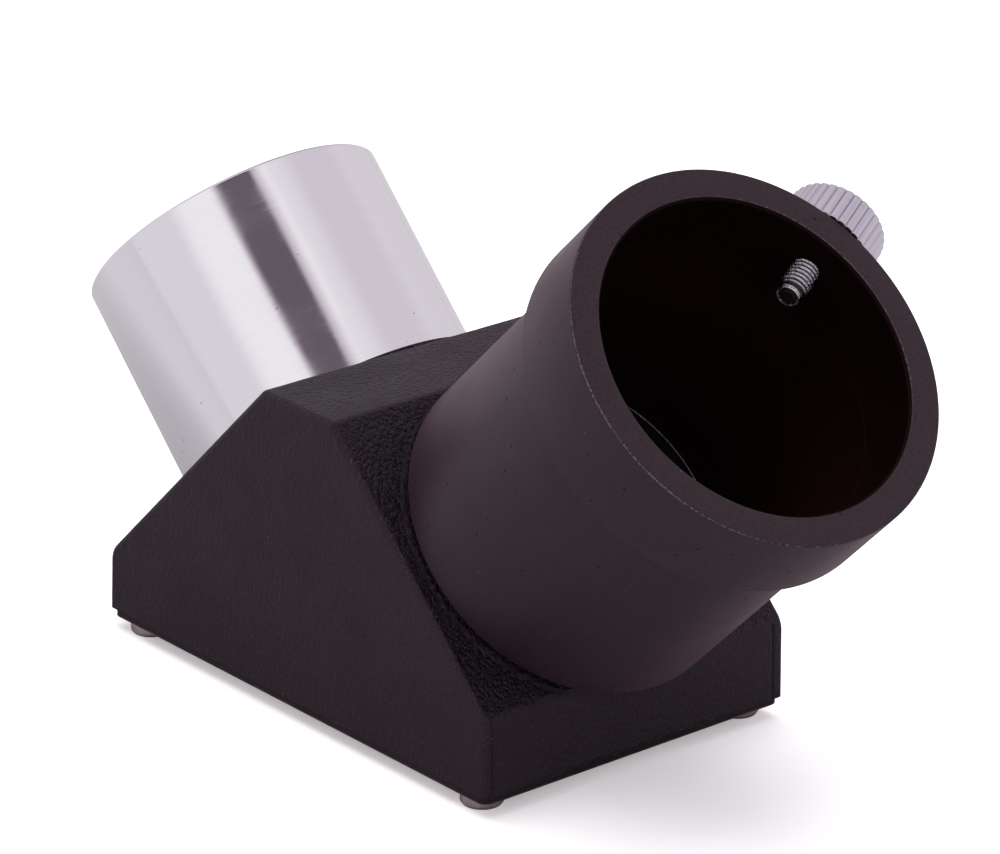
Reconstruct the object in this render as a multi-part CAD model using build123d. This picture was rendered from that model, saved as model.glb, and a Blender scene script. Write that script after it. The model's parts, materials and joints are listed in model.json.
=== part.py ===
from build123d import *

import math
import os

# Star diagonal with a 90 degree light path and 31.75 mm fittings. Lengths are in millimetres.
#
# While it is built, the model stands on its optical vertex: the two tube axes meet there, on the mirror's
# face, and rise from it at 45 degrees, the nosepiece towards -X and the eyepiece tube towards +X. Every
# sub-part is then moved so that the row frame's origin is the centre of the nosepiece's shoulder.

# Standard fittings
NOSEPIECE_RADIUS = 31.75 / 2
EYEPIECE_BORE_RADIUS = 31.9 / 2
FILTER_THREAD_RADIUS = 14.0  # minor radius of the M28.5 x 0.6 filter thread
FILTER_THREAD_DEPTH = 4.0

# Housing outline, with heights above the vertex
FACE_DISTANCE = 24.73  # vertex to each 45 degree face
HOUSING_WIDTH = 38.0
APEX_HALF_LENGTH = 5.35
EYEPIECE_END_X = 28.25
NOSEPIECE_END_X = -29.95
END_DRAFT = 0.2  # how far each end face leans out at the base
WALL = 2.5
FACE_WALL = 3.2
PLATE_CORNER_RADIUS = 1.0
EAVE_RADIUS = 2.5  # where a 45 degree face meets its end face
RIDGE_RADIUS = 1.0  # where a 45 degree face meets the flat top
SIDE_EDGE_RADIUS = 0.7

# Base, from the mirror's face downwards
MIRROR_LENGTH = 42.0
MIRROR_WIDTH = 28.0
MIRROR_THICKNESS = 1.1
PAD_THICKNESS = 0.1
PAD_INSET = 1.0
PLATE_THICKNESS = 0.8
PLATE_INSET = 0.2
EYEPIECE_SCREW_X = 24.75
NOSEPIECE_SCREW_X = -26.65
SCREW_Y = 16.3
SCREW_HEAD_RADIUS = 2.1
SCREW_HEAD_HEIGHT = 1.4
SCREW_HEAD_EDGE = 0.35
SCREW_SHANK_RADIUS = 1.25
SCREW_SHANK_LENGTH = 6.0
SCREW_TIP = 0.5
SCREW_SLOT_LENGTH = 2.4
SCREW_SLOT_WIDTH = 0.55
SCREW_SLOT_DEPTH = 0.6
SCREW_BOSS_RADIUS = 3.0
SCREW_BOSS_HEIGHT = 7.0

# Round bosses that both tubes sit on
NOSEPIECE_BOSS_RADIUS = 16.75
EYEPIECE_BOSS_RADIUS = 17.5
BOSS_HEIGHT = 0.4
SHOULDER = FACE_DISTANCE + BOSS_HEIGHT

# Nosepiece, with distances from the vertex along its axis
NOSEPIECE_MOUTH = 48.15
NOSEPIECE_BORE_RADIUS = 13.6

# Eyepiece tube, with distances from the vertex along its axis
TUBE_MOUTH = 61.35
TUBE_RADIUS = 17.55
COLLAR_RADIUS = 19.35
COLLAR_START = 52.05
LEAD_IN_RADIUS = 16.15
LEAD_IN_START = 53.5
BORE_FLOOR = 27.1
STOP_RING_START = 25.4
STOP_RING_RADIUS = 15.6
STOP_RING_HOLE = 13.0
TUBE_BORE_RADIUS = 13.5
TUBE_FOOT_CHAMFER = 0.9

# Spigots and the ring nuts that clamp them inside the housing
SPIGOT_RADIUS = 15.0
SPIGOT_END = 19.5
NUT_RADIUS = 16.3
NUT_START = 19.7
NUT_SLOT_WIDTH = 2.0
NUT_SLOT_DEPTH = 0.8
NUT_POCKET_GAP = 0.2

# Thumbscrew, with distances from the eyepiece tube's axis along the screw's own axis
SCREW_STATION = 56.7  # along the eyepiece tube, from the vertex
SCREW_ANGLE = 29.25  # degrees round the tube, from +Y towards the nosepiece
STUD_RADIUS = 1.5
STUD_END = 12.3
STUD_POINT = 0.35
STUD_HEAD = 22.4
TIP_END = 12.15
TIP_RADIUS = 0.85
TIP_SEAT = 13.65
KNOB_START = 19.45
KNOB_END = 23.41
KNOB_RADIUS = 5.0
FLUTE_COUNT = 34
FLUTE_RADIUS = 0.3

# Clearances, small chamfers, and how far a cutting tool runs past what it cuts
FIT = 0.05
SNUG = 0.02
TIP_FIT = 0.03
EDGE = 0.3
OVERRUN = 1.0

PLATE_TOP = -MIRROR_THICKNESS - PAD_THICKNESS
PLATE_BOTTOM = PLATE_TOP - PLATE_THICKNESS
FACE_SUM = FACE_DISTANCE * math.sqrt(2)  # |x| + z on both 45 degree faces

NOSEPIECE_AXIS = Plane(origin=(0, 0, 0), x_dir=(0, 1, 0), z_dir=(-1, 0, 1))
EYEPIECE_AXIS = Plane(origin=(0, 0, 0), x_dir=(0, 1, 0), z_dir=(1, 0, 1))
ROW_ORIGIN = NOSEPIECE_AXIS.from_local_coords(Vector(0, 0, SHOULDER))


def thumbscrew_axis():
    """Plane on the eyepiece tube's axis whose Z runs out along the thumbscrew."""
    angle = math.radians(SCREW_ANGLE)
    station = EYEPIECE_AXIS.from_local_coords(Vector(0, 0, SCREW_STATION))
    outward = EYEPIECE_AXIS.y_dir * math.sin(angle) + EYEPIECE_AXIS.x_dir * math.cos(angle)
    return Plane(origin=station, x_dir=EYEPIECE_AXIS.z_dir, z_dir=outward)


def turned(*profile):
    """Solid of revolution about Z from (radius, height) points."""
    outline = Polyline(*[(radius, 0, height) for radius, height in profile], close=True)
    return revolve(make_face(outline), Axis.Z)


def rod(radius, start, end):
    """Plain cylinder about Z between two heights."""
    return Pos(0, 0, start) * Cylinder(radius, end - start, align=(Align.CENTER, Align.CENTER, Align.MIN))


def block(x_size, y_size, z_low, z_high):
    """Box centred on Z between two heights."""
    box = Box(x_size, y_size, z_high - z_low, align=(Align.CENTER, Align.CENTER, Align.MIN))
    return Pos(0, 0, z_low) * box


def outline_prism(z_low, width, face_inset=0.0, end_inset=0.0, draft=0.0):
    """Truncated triangular prism: the housing's outline, or one set in from its faces and ends."""
    face_sum = FACE_SUM - face_inset * math.sqrt(2)
    left = NOSEPIECE_END_X + end_inset
    right = EYEPIECE_END_X - end_inset
    top = FACE_SUM - APEX_HALF_LENGTH - end_inset
    outline = Polyline(
        (left - draft, 0, z_low),
        (left, 0, face_sum + left),
        (top - face_sum, 0, top),
        (face_sum - top, 0, top),
        (right, 0, face_sum - right),
        (right + draft, 0, z_low),
        close=True,
    )
    return extrude(make_face(outline), amount=width / 2, both=True)


def screw_places():
    """Centres of the four base screws."""
    return [Pos(x, y, 0) for x in (NOSEPIECE_SCREW_X, EYEPIECE_SCREW_X) for y in (-SCREW_Y, SCREW_Y)]


def soften_outline(outer):
    """Rounds the housing's ridges and eaves, and then the edges round both of its sides."""
    outer = fillet(outer.edges().filter_by(Axis.Y).group_by(Axis.Z)[-1], RIDGE_RADIUS)
    eaves = [edge for edge in outer.edges().filter_by(Axis.Y) if 0 < edge.center().Z < FACE_SUM / 2]
    outer = fillet(eaves, EAVE_RADIUS)
    base_edges = outer.edges().group_by(Axis.Z)[0]
    sides = [edge for edge in outer.edges() - base_edges if abs(abs(edge.center().Y) - HOUSING_WIDTH / 2) < FIT]
    return fillet(sides, SIDE_EDGE_RADIUS)


def make_housing():
    """Moulded body: a truncated triangle with bored faces, screw bosses and an open base."""
    outer = soften_outline(outline_prism(PLATE_TOP, HOUSING_WIDTH, draft=END_DRAFT))
    cavity = outline_prism(PLATE_TOP - OVERRUN, HOUSING_WIDTH - 2 * WALL, FACE_WALL, WALL)
    body = outer - cavity
    inner_face = FACE_DISTANCE - FACE_WALL
    body += NOSEPIECE_AXIS * rod(NOSEPIECE_BOSS_RADIUS, inner_face, SHOULDER)
    eyepiece_boss = EYEPIECE_AXIS * rod(EYEPIECE_BOSS_RADIUS, inner_face, SHOULDER)
    body += eyepiece_boss - Pos(EYEPIECE_END_X + WALL, 0, 0) * Box(2 * WALL, HOUSING_WIDTH, FACE_SUM)
    for place in screw_places():
        body += outer & (place * rod(SCREW_BOSS_RADIUS, PLATE_TOP, PLATE_TOP + SCREW_BOSS_HEIGHT))
    for place in screw_places():
        hole_top = PLATE_BOTTOM + SCREW_SHANK_LENGTH + SCREW_TIP
        body -= place * rod(SCREW_SHANK_RADIUS + FIT, PLATE_TOP, hole_top)
    for axis in (NOSEPIECE_AXIS, EYEPIECE_AXIS):
        body -= axis * rod(SPIGOT_RADIUS + FIT, inner_face - OVERRUN, SHOULDER + OVERRUN)
        body -= axis * rod(NUT_RADIUS + NUT_POCKET_GAP, NUT_START - OVERRUN, inner_face)
    return body


def make_nosepiece():
    """Turned barrel with a filter thread in its mouth and a spigot that passes through the housing's wall."""
    return NOSEPIECE_AXIS * turned(
        (NOSEPIECE_BORE_RADIUS, SPIGOT_END),
        (SPIGOT_RADIUS, SPIGOT_END),
        (SPIGOT_RADIUS, SHOULDER),
        (NOSEPIECE_RADIUS, SHOULDER),
        (NOSEPIECE_RADIUS, NOSEPIECE_MOUTH - EDGE),
        (NOSEPIECE_RADIUS - EDGE, NOSEPIECE_MOUTH),
        (FILTER_THREAD_RADIUS + EDGE, NOSEPIECE_MOUTH),
        (FILTER_THREAD_RADIUS, NOSEPIECE_MOUTH - EDGE),
        (FILTER_THREAD_RADIUS, NOSEPIECE_MOUTH - EDGE - FILTER_THREAD_DEPTH),
        (NOSEPIECE_BORE_RADIUS, NOSEPIECE_MOUTH - EDGE - FILTER_THREAD_DEPTH),
    )


def make_eyepiece_tube():
    """Tube with a collar round its mouth, a stepped bore and a tapped hole for the thumbscrew."""
    tube = EYEPIECE_AXIS * turned(
        (TUBE_BORE_RADIUS, SPIGOT_END),
        (SPIGOT_RADIUS, SPIGOT_END),
        (SPIGOT_RADIUS, SHOULDER),
        (TUBE_RADIUS - TUBE_FOOT_CHAMFER, SHOULDER),
        (TUBE_RADIUS, SHOULDER + TUBE_FOOT_CHAMFER),
        (TUBE_RADIUS, COLLAR_START),
        (COLLAR_RADIUS, COLLAR_START),
        (COLLAR_RADIUS, TUBE_MOUTH - EDGE),
        (COLLAR_RADIUS - EDGE, TUBE_MOUTH),
        (LEAD_IN_RADIUS + EDGE, TUBE_MOUTH),
        (LEAD_IN_RADIUS, TUBE_MOUTH - EDGE),
        (LEAD_IN_RADIUS, LEAD_IN_START),
        (EYEPIECE_BORE_RADIUS, LEAD_IN_START),
        (EYEPIECE_BORE_RADIUS, BORE_FLOOR),
        (STOP_RING_RADIUS, BORE_FLOOR),
        (STOP_RING_RADIUS, STOP_RING_START),
        (TUBE_BORE_RADIUS, STOP_RING_START),
    )
    return tube - thumbscrew_axis() * rod(STUD_RADIUS + FIT, TUBE_BORE_RADIUS, COLLAR_RADIUS + OVERRUN)


def make_stop_ring():
    """Ring in the bottom of the bore that stops an eyepiece above the mirror."""
    radius = STOP_RING_RADIUS - SNUG
    return EYEPIECE_AXIS * turned(
        (STOP_RING_HOLE, STOP_RING_START),
        (radius, STOP_RING_START),
        (radius, BORE_FLOOR - EDGE),
        (radius - EDGE, BORE_FLOOR),
        (STOP_RING_HOLE + EDGE, BORE_FLOOR),
        (STOP_RING_HOLE, BORE_FLOOR - EDGE),
    )


def make_ring_nut(axis):
    """Threaded ring with two spanner slots, tightened against the wall from inside."""
    nut = rod(NUT_RADIUS, NUT_START, FACE_DISTANCE - FACE_WALL)
    nut -= rod(SPIGOT_RADIUS + SNUG, NUT_START - OVERRUN, FACE_DISTANCE)
    slot_length = 2 * (NUT_RADIUS + OVERRUN)
    nut -= block(NUT_SLOT_WIDTH, slot_length, NUT_START - OVERRUN, NUT_START + NUT_SLOT_DEPTH)
    return axis * nut


def make_base_plate():
    """Cover that closes the long side and carries the mirror."""
    length = EYEPIECE_END_X - NOSEPIECE_END_X - 2 * PLATE_INSET
    middle = (EYEPIECE_END_X + NOSEPIECE_END_X) / 2
    plate = Pos(middle, 0, 0) * block(length, HOUSING_WIDTH - 2 * PLATE_INSET, PLATE_BOTTOM, PLATE_TOP)
    plate = fillet(plate.edges().filter_by(Axis.Z), PLATE_CORNER_RADIUS)
    for place in screw_places():
        plate -= place * rod(SCREW_SHANK_RADIUS + 2 * FIT, PLATE_BOTTOM - OVERRUN, PLATE_TOP + OVERRUN)
    return plate


def make_base_screw():
    """Pan-head screw with a cross recess, head down."""
    head_bottom = PLATE_BOTTOM - SCREW_HEAD_HEIGHT
    shank_top = PLATE_BOTTOM + SCREW_SHANK_LENGTH
    screw = turned(
        (0, head_bottom),
        (SCREW_HEAD_RADIUS - SCREW_HEAD_EDGE, head_bottom),
        (SCREW_HEAD_RADIUS, head_bottom + SCREW_HEAD_EDGE),
        (SCREW_HEAD_RADIUS, PLATE_BOTTOM),
        (SCREW_SHANK_RADIUS, PLATE_BOTTOM),
        (SCREW_SHANK_RADIUS, shank_top - SCREW_TIP),
        (SCREW_SHANK_RADIUS - SCREW_TIP, shank_top),
        (0, shank_top),
    )
    slot_top = head_bottom + SCREW_SLOT_DEPTH
    slot = block(SCREW_SLOT_LENGTH, SCREW_SLOT_WIDTH, head_bottom - OVERRUN, slot_top)
    return screw - slot - Rot(0, 0, 90) * slot


def make_mirror():
    """Flat first-surface mirror: its upper face holds the optical vertex."""
    return block(MIRROR_LENGTH, MIRROR_WIDTH, -MIRROR_THICKNESS, 0)


def make_mirror_pad():
    """Bonding pad between the mirror and the base plate."""
    return block(
        MIRROR_LENGTH - 2 * PAD_INSET, MIRROR_WIDTH - 2 * PAD_INSET, PLATE_TOP, -MIRROR_THICKNESS
    )


def make_stud():
    """Threaded shank of the thumbscrew, drilled at its inner end for the tip."""
    return thumbscrew_axis() * turned(
        (0, TIP_SEAT),
        (TIP_RADIUS + TIP_FIT, TIP_SEAT),
        (TIP_RADIUS + TIP_FIT, STUD_END),
        (STUD_RADIUS - STUD_POINT, STUD_END),
        (STUD_RADIUS, STUD_END + STUD_POINT),
        (STUD_RADIUS, STUD_HEAD),
        (0, STUD_HEAD),
    )


def make_tip():
    """Soft plug that presses on the eyepiece's barrel and needn't turn with the screw."""
    return thumbscrew_axis() * rod(TIP_RADIUS, TIP_END, TIP_SEAT - FIT)


def make_knob():
    """Straight-fluted knob, blind-bored for the stud."""
    knob = turned(
        (0, KNOB_START),
        (KNOB_RADIUS - EDGE, KNOB_START),
        (KNOB_RADIUS, KNOB_START + EDGE),
        (KNOB_RADIUS, KNOB_END - EDGE),
        (KNOB_RADIUS - EDGE, KNOB_END),
        (0, KNOB_END),
    )
    for flute in range(FLUTE_COUNT):
        groove = Pos(KNOB_RADIUS, 0, 0) * rod(FLUTE_RADIUS, KNOB_START - OVERRUN, KNOB_END + OVERRUN)
        knob -= Rot(0, 0, flute * 360 / FLUTE_COUNT) * groove
    knob -= rod(STUD_RADIUS + SNUG, KNOB_START - OVERRUN, STUD_HEAD + SNUG)
    return thumbscrew_axis() * knob


def all_parts():
    """Every sub-part by node name, about the optical vertex."""
    parts = {
        "housing": make_housing(),
        "nosepiece": make_nosepiece(),
        "nosepiece_ring_nut": make_ring_nut(NOSEPIECE_AXIS),
        "eyepiece_tube": make_eyepiece_tube(),
        "eyepiece_tube_ring_nut": make_ring_nut(EYEPIECE_AXIS),
        "eyepiece_stop_ring": make_stop_ring(),
        "base_plate": make_base_plate(),
        "mirror": make_mirror(),
        "mirror_pad": make_mirror_pad(),
        "thumbscrew_tip": make_tip(),
        "thumbscrew_stud": make_stud(),
        "thumbscrew_knob": make_knob(),
    }
    for number, place in enumerate(screw_places(), start=1):
        parts[f"base_screw_{number}"] = place * make_base_screw()
    return parts


os.makedirs("parts", exist_ok=True)
for node, solid in all_parts().items():
    export_step(Pos(-ROW_ORIGIN.X, -ROW_ORIGIN.Y, -ROW_ORIGIN.Z) * solid, f"parts/{node}.step")
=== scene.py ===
import json
import math

import bmesh
import bpy
from mathutils import Matrix, Vector, noise


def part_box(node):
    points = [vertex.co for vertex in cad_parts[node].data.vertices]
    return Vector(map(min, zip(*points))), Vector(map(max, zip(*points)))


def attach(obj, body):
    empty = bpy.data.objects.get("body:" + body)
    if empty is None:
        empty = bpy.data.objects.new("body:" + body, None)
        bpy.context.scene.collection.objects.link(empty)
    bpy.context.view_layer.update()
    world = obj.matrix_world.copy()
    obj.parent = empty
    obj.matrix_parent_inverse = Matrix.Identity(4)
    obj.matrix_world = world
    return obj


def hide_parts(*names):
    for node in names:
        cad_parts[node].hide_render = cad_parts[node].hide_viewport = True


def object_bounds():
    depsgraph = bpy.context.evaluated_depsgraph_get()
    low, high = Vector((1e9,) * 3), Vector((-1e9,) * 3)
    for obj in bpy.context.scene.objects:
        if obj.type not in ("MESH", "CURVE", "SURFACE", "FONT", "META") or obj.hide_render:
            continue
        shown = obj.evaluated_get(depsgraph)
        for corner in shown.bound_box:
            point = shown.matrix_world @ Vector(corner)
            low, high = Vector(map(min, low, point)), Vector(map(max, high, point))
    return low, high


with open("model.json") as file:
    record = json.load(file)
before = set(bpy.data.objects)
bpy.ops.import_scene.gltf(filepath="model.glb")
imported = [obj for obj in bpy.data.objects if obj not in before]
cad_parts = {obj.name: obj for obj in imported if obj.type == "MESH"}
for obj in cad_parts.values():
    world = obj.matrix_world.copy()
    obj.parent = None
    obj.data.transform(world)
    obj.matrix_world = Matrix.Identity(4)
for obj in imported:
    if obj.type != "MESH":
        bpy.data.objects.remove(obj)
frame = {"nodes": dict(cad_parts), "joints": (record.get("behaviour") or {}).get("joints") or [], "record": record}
CAD_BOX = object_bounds()

# Star diagonal: every piece is built about its own axis in millimetres, then placed in the frame in metres.
MM = 0.001
NODES = frame["nodes"]
MOUNTS = {mount["name"]: mount for mount in frame["record"]["mounts"]}
JOINTS = {joint["name"]: joint for joint in frame["joints"]}

# Housing
FACE_DISTANCE = 24.73
BOSS_HEIGHT = 0.4
SHOULDER = FACE_DISTANCE + BOSS_HEIGHT
GRAIN_PITCH = 0.49
GRAIN_HEIGHT = 0.03
GRAIN_ON_FLATS = 0.2
COARSE_ON_TOP = 0.75
SKIN_DEPTH = 1.2
JOINT_RADIUS = 17.4
BOSS_RADIUS = 18.3
EDGE_WEAR = 14
PARTING_LINES = ((-1, 0.85), (1, 1.5))
PARTING_HALF_WIDTH = 0.1
PARTING_DEPTH = 0.14

# Nosepiece and its filter thread
NOSEPIECE_RADIUS = MOUNTS["nosepiece"]["dims"]["r_mm"]
NOSEPIECE_MOUTH = 48.15
MOUTH_CHAMFER = 0.25
NOSEPIECE_BORE_RADIUS = 13.6
FILTER_THREAD_RADIUS = MOUNTS["filter_thread"]["dims"]["r_mm"]
FILTER_THREAD_DEPTH = 4.0
FILTER_THREAD_PITCH = 0.6
FILTER_THREAD_TOOTH = 0.22

# Eyepiece tube
BORE_RADIUS = MOUNTS["eyepiece_socket"]["dims"]["r_mm"]
TUBE_MOUTH = 61.35
TUBE_RADIUS = 17.55
COLLAR_RADIUS = 19.35
COLLAR_START = 52.05
LEAD_IN_RADIUS = 16.15
LEAD_IN_CHAMFER = 0.3
LEAD_IN_START = 53.5
BORE_FLOOR = 27.1
STOP_RING_START = 25.4
STOP_RING_RADIUS = 15.58
STOP_RING_HOLE = 13.0
TUBE_BORE_RADIUS = 13.5
TUBE_FOOT_CHAMFER = 0.9
RUBBED_SIDE = 190
INNER_RUBBED_SIDE = 22
RUBBED_LEAST = 0.44
WEAR_BELOW_MOUTH = 0.6
SPIGOT_RADIUS = 15.0
SPIGOT_END = 19.5

# Ring nuts
NUT_BORE = SPIGOT_RADIUS + 0.02
NUT_RADIUS = 16.3
NUT_START = 19.7
NUT_END = 21.53
NUT_SLOT_WIDTH = 2.0
NUT_SLOT_DEPTH = 0.8

# Thumbscrew, measured out from the eyepiece tube's axis
SCREW_STATION = 56.7
STUD_RADIUS = 1.5
STUD_END = 12.3
STUD_HEAD = 22.4
STUD_PITCH = 0.5
STUD_TOOTH = 0.3
STUD_FACE_RADIUS = 1.12
TIP_END = 12.15
TIP_RADIUS = 0.85
TIP_SEAT = 13.65
KNOB_START = 19.38
KNOB_END = 23.41
KNOB_RADIUS = 5.0
KNOB_BORE = 1.52
FLUTE_COUNT = 34
FLUTE_DEPTH = 0.26
TAPPED_HOLE_RADIUS = 1.55
DRILL_START = 10

# Base screws
HEAD_RADIUS = 2.1
HEAD_HEIGHT = 1.4
SHANK_RADIUS = 1.25
SHANK_LENGTH = 6.0
SHANK_PITCH = 0.8
SHANK_TOOTH = 0.25
RECESS_LENGTH = 2.3
RECESS_WIDTH = 0.5
RECESS_DEPTH = 0.7
SCREW_TURNS = (12, 71, 38, 104)

# Camera: a long lens, aimed just below the middle of the object
AZIMUTH = 49.342
ELEVATION = 21.754
ROLL = 0.757
FOCAL_LENGTH = 207.66
SENSOR_WIDTH = 36
DISTANCE = 0.55669
SIDE_STEP = -0.00015
RISE = -0.0023
CLIP_START = 0.01

# Studio: the table is lit up a little for the camera, and far off it glows in reflections
TABLE_SIZE = 4.0
TABLE_GLOW = 0.34
FAR_TABLE_GLOW = 0.34
WORLD_LIGHT = 0.73
DARKEST_WORLD = 0.125
LAMP_SIZE = 1.6
LAMP_HEIGHT = 1.6
LAMP_POWER = 24.0

# Mesh detail
ROUND_STEPS = 6
TUBE_SEGMENTS = 256
SMALL_SEGMENTS = 72


# ---------------------------------------------------------------- frames


def axis_frame(origin, z_axis, x_axis):
    """World matrix of a local frame in millimetres."""
    z = Vector(z_axis).normalized()
    x = Vector(x_axis)
    x = (x - z * x.dot(z)).normalized()
    y = z.cross(x)
    rotation = Matrix((x, y, z)).transposed().to_4x4()
    return Matrix.Translation(Vector(origin)) @ rotation @ Matrix.Scale(MM, 4)


NOSEPIECE_DIRECTION = Vector(MOUNTS["nosepiece"]["axis"]).normalized()
EYEPIECE_DIRECTION = Vector(MOUNTS["eyepiece_socket"]["axis"]).normalized()
SCREW_DIRECTION = Vector(JOINTS["thumbscrew_travel"]["axis"]).normalized()
VERTEX = Vector(MOUNTS["nosepiece"]["pos_m"]) - NOSEPIECE_DIRECTION * SHOULDER * MM
NOSEPIECE_FRAME = axis_frame(VERTEX, NOSEPIECE_DIRECTION, (0, 1, 0))
EYEPIECE_FRAME = axis_frame(VERTEX, EYEPIECE_DIRECTION, (0, 1, 0))
STATION = VERTEX + EYEPIECE_DIRECTION * SCREW_STATION * MM
SCREW_FRAME = axis_frame(STATION, SCREW_DIRECTION, EYEPIECE_DIRECTION)


# ---------------------------------------------------------------- meshes


def rounded(points):
    """Rows (radius, height, wear) of a profile from points (radius, height[, corner radius])."""
    rows = []
    count = len(points)
    for i, point in enumerate(points):
        radius, height = point[:2]
        corner = point[2] if len(point) > 2 else 0
        if not corner:
            rows.append((radius, height, 0.0))
            continue
        here = Vector((radius, height))
        before = (Vector(points[i - 1][:2]) - here).normalized()
        after = (Vector(points[(i + 1) % count][:2]) - here).normalized()
        half_angle = before.angle(after) / 2
        centre = here + (before + after).normalized() * corner / math.sin(half_angle)
        first = here + before * corner / math.tan(half_angle) - centre
        last = here + after * corner / math.tan(half_angle) - centre
        for step in range(ROUND_STEPS + 1):
            arm = first.lerp(last, step / ROUND_STEPS).normalized() * corner
            wear = math.sin(math.pi * step / ROUND_STEPS)
            rows.append((*(centre + arm), wear))
    return rows


def thread_rows(radius, start, end, pitch, samples=10):
    """Rows along a threaded stretch, marked with how much of the tooth stands at each."""
    count = max(2, round(abs(end - start) / pitch * samples))
    rows = []
    for step in range(count + 1):
        share = step / count
        fade = min(1.0, 8 * share, 8 * (1 - share))
        rows.append((radius, start + (end - start) * share, 0.0, fade))
    return rows


def tooth(turns):
    """Height of a 60 degree thread with a flat crest and root, from 0 to 1, by place within one pitch."""
    wave = 1 - abs(2 * (turns % 1) - 1)
    return min(1.0, max(0.0, 1.3 * wave - 0.15))


def revolve(name, rows, segments, closed=True, pitch=1.0, tooth_height=0.0, flute=None):
    """Turned piece about local Z. A row at radius 0 is a pole. flute(radius, angle) is a change of radius."""
    bm = bmesh.new()
    wear_layer = bm.verts.layers.float.new("wear")
    rings = []
    for row in rows:
        radius, height, wear = row[:3]
        thread = row[3] if len(row) > 3 else 0.0
        if radius == 0:
            rings.append([bm.verts.new((0, 0, height))])
            continue
        ring = []
        for step in range(segments):
            angle = 2 * math.pi * step / segments
            here = radius
            if thread:
                here += tooth_height * thread * tooth(height / pitch - angle / (2 * math.pi))
            if flute:
                here += flute(radius, angle)
            vertex = bm.verts.new((here * math.cos(angle), here * math.sin(angle), height))
            vertex[wear_layer] = wear
            ring.append(vertex)
        rings.append(ring)
    pairs = list(zip(rings, rings[1:]))
    if closed:
        pairs.append((rings[-1], rings[0]))
    for low, high in pairs:
        for step in range(segments):
            following = (step + 1) % segments
            if len(low) == 1:
                bm.faces.new((low[0], high[following], high[step]))
            elif len(high) == 1:
                bm.faces.new((low[step], low[following], high[0]))
            else:
                bm.faces.new((low[step], low[following], high[following], high[step]))
    bmesh.ops.recalc_face_normals(bm, faces=bm.faces)
    return from_bmesh(name, bm)


def from_bmesh(name, bm):
    """New object from a bmesh, which is freed."""
    mesh = bpy.data.meshes.new(name)
    bm.to_mesh(mesh)
    bm.free()
    piece = bpy.data.objects.new(name, mesh)
    bpy.context.scene.collection.objects.link(piece)
    return piece


def smooth(piece, sharp_angle=32):
    """Smooth shading, with edges sharper than the angle left crisp."""
    piece.data.shade_smooth()
    piece.data.set_sharp_from_angle(angle=math.radians(sharp_angle))
    return piece


def mark_grooves(piece, floor, crest, start, end):
    """Stores how far each vertex lies below the crests of a thread or flutes, as a number called groove."""
    layer = piece.data.attributes.new("groove", "FLOAT", "POINT")
    for vertex, mark in zip(piece.data.vertices, layer.data):
        radius = math.hypot(vertex.co.x, vertex.co.y)
        depth = (crest - radius) / (crest - floor)
        mark.value = min(1.0, max(0.0, depth)) if start < vertex.co.z < end else 0.0
    return piece


def box_cutter(x_size, y_size, z_low, z_high, turn=0.0, taper=1.0):
    """Box about local Z, as a cutting tool. taper is the size of its upper end against the lower."""
    bm = bmesh.new()
    corners = []
    for z, scale in ((z_low, 1.0), (z_high, taper)):
        for x, y in ((-1, -1), (1, -1), (1, 1), (-1, 1)):
            corners.append(bm.verts.new((x * x_size / 2 * scale, y * y_size / 2 * scale, z)))
    low, high = corners[:4], corners[4:]
    bm.faces.new(low[::-1])
    bm.faces.new(high)
    for i in range(4):
        j = (i + 1) % 4
        bm.faces.new((low[i], low[j], high[j], high[i]))
    bmesh.ops.rotate(bm, verts=bm.verts, matrix=Matrix.Rotation(math.radians(turn), 3, "Z"))
    return from_bmesh("cutter", bm)


def apply_modifiers(piece):
    """Replaces a piece's mesh with what its modifiers make."""
    graph = bpy.context.evaluated_depsgraph_get()
    mesh = bpy.data.meshes.new_from_object(piece.evaluated_get(graph))
    piece.modifiers.clear()
    piece.data = mesh


def cut(piece, *cutters):
    """Takes cutting tools away from a piece, and deletes them."""
    for cutter in cutters:
        step = piece.modifiers.new("cut", "BOOLEAN")
        step.operation = "DIFFERENCE"
        step.solver = "EXACT"
        step.object = cutter
    bpy.context.view_layer.update()
    apply_modifiers(piece)
    for cutter in cutters:
        bpy.data.objects.remove(cutter)
    return piece


def soften(node, width, segments=3):
    """Breaks the sharp edges of a CAD node with modifiers, which leave its own mesh alone."""
    weld = node.modifiers.new("weld", "WELD")
    weld.merge_threshold = 1e-6
    bevel = node.modifiers.new("edges", "BEVEL")
    bevel.width = width * MM
    bevel.segments = segments
    bevel.limit_method = "ANGLE"
    bevel.angle_limit = math.radians(40)
    bevel.harden_normals = True
    return node


# ---------------------------------------------------------------- materials


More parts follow.
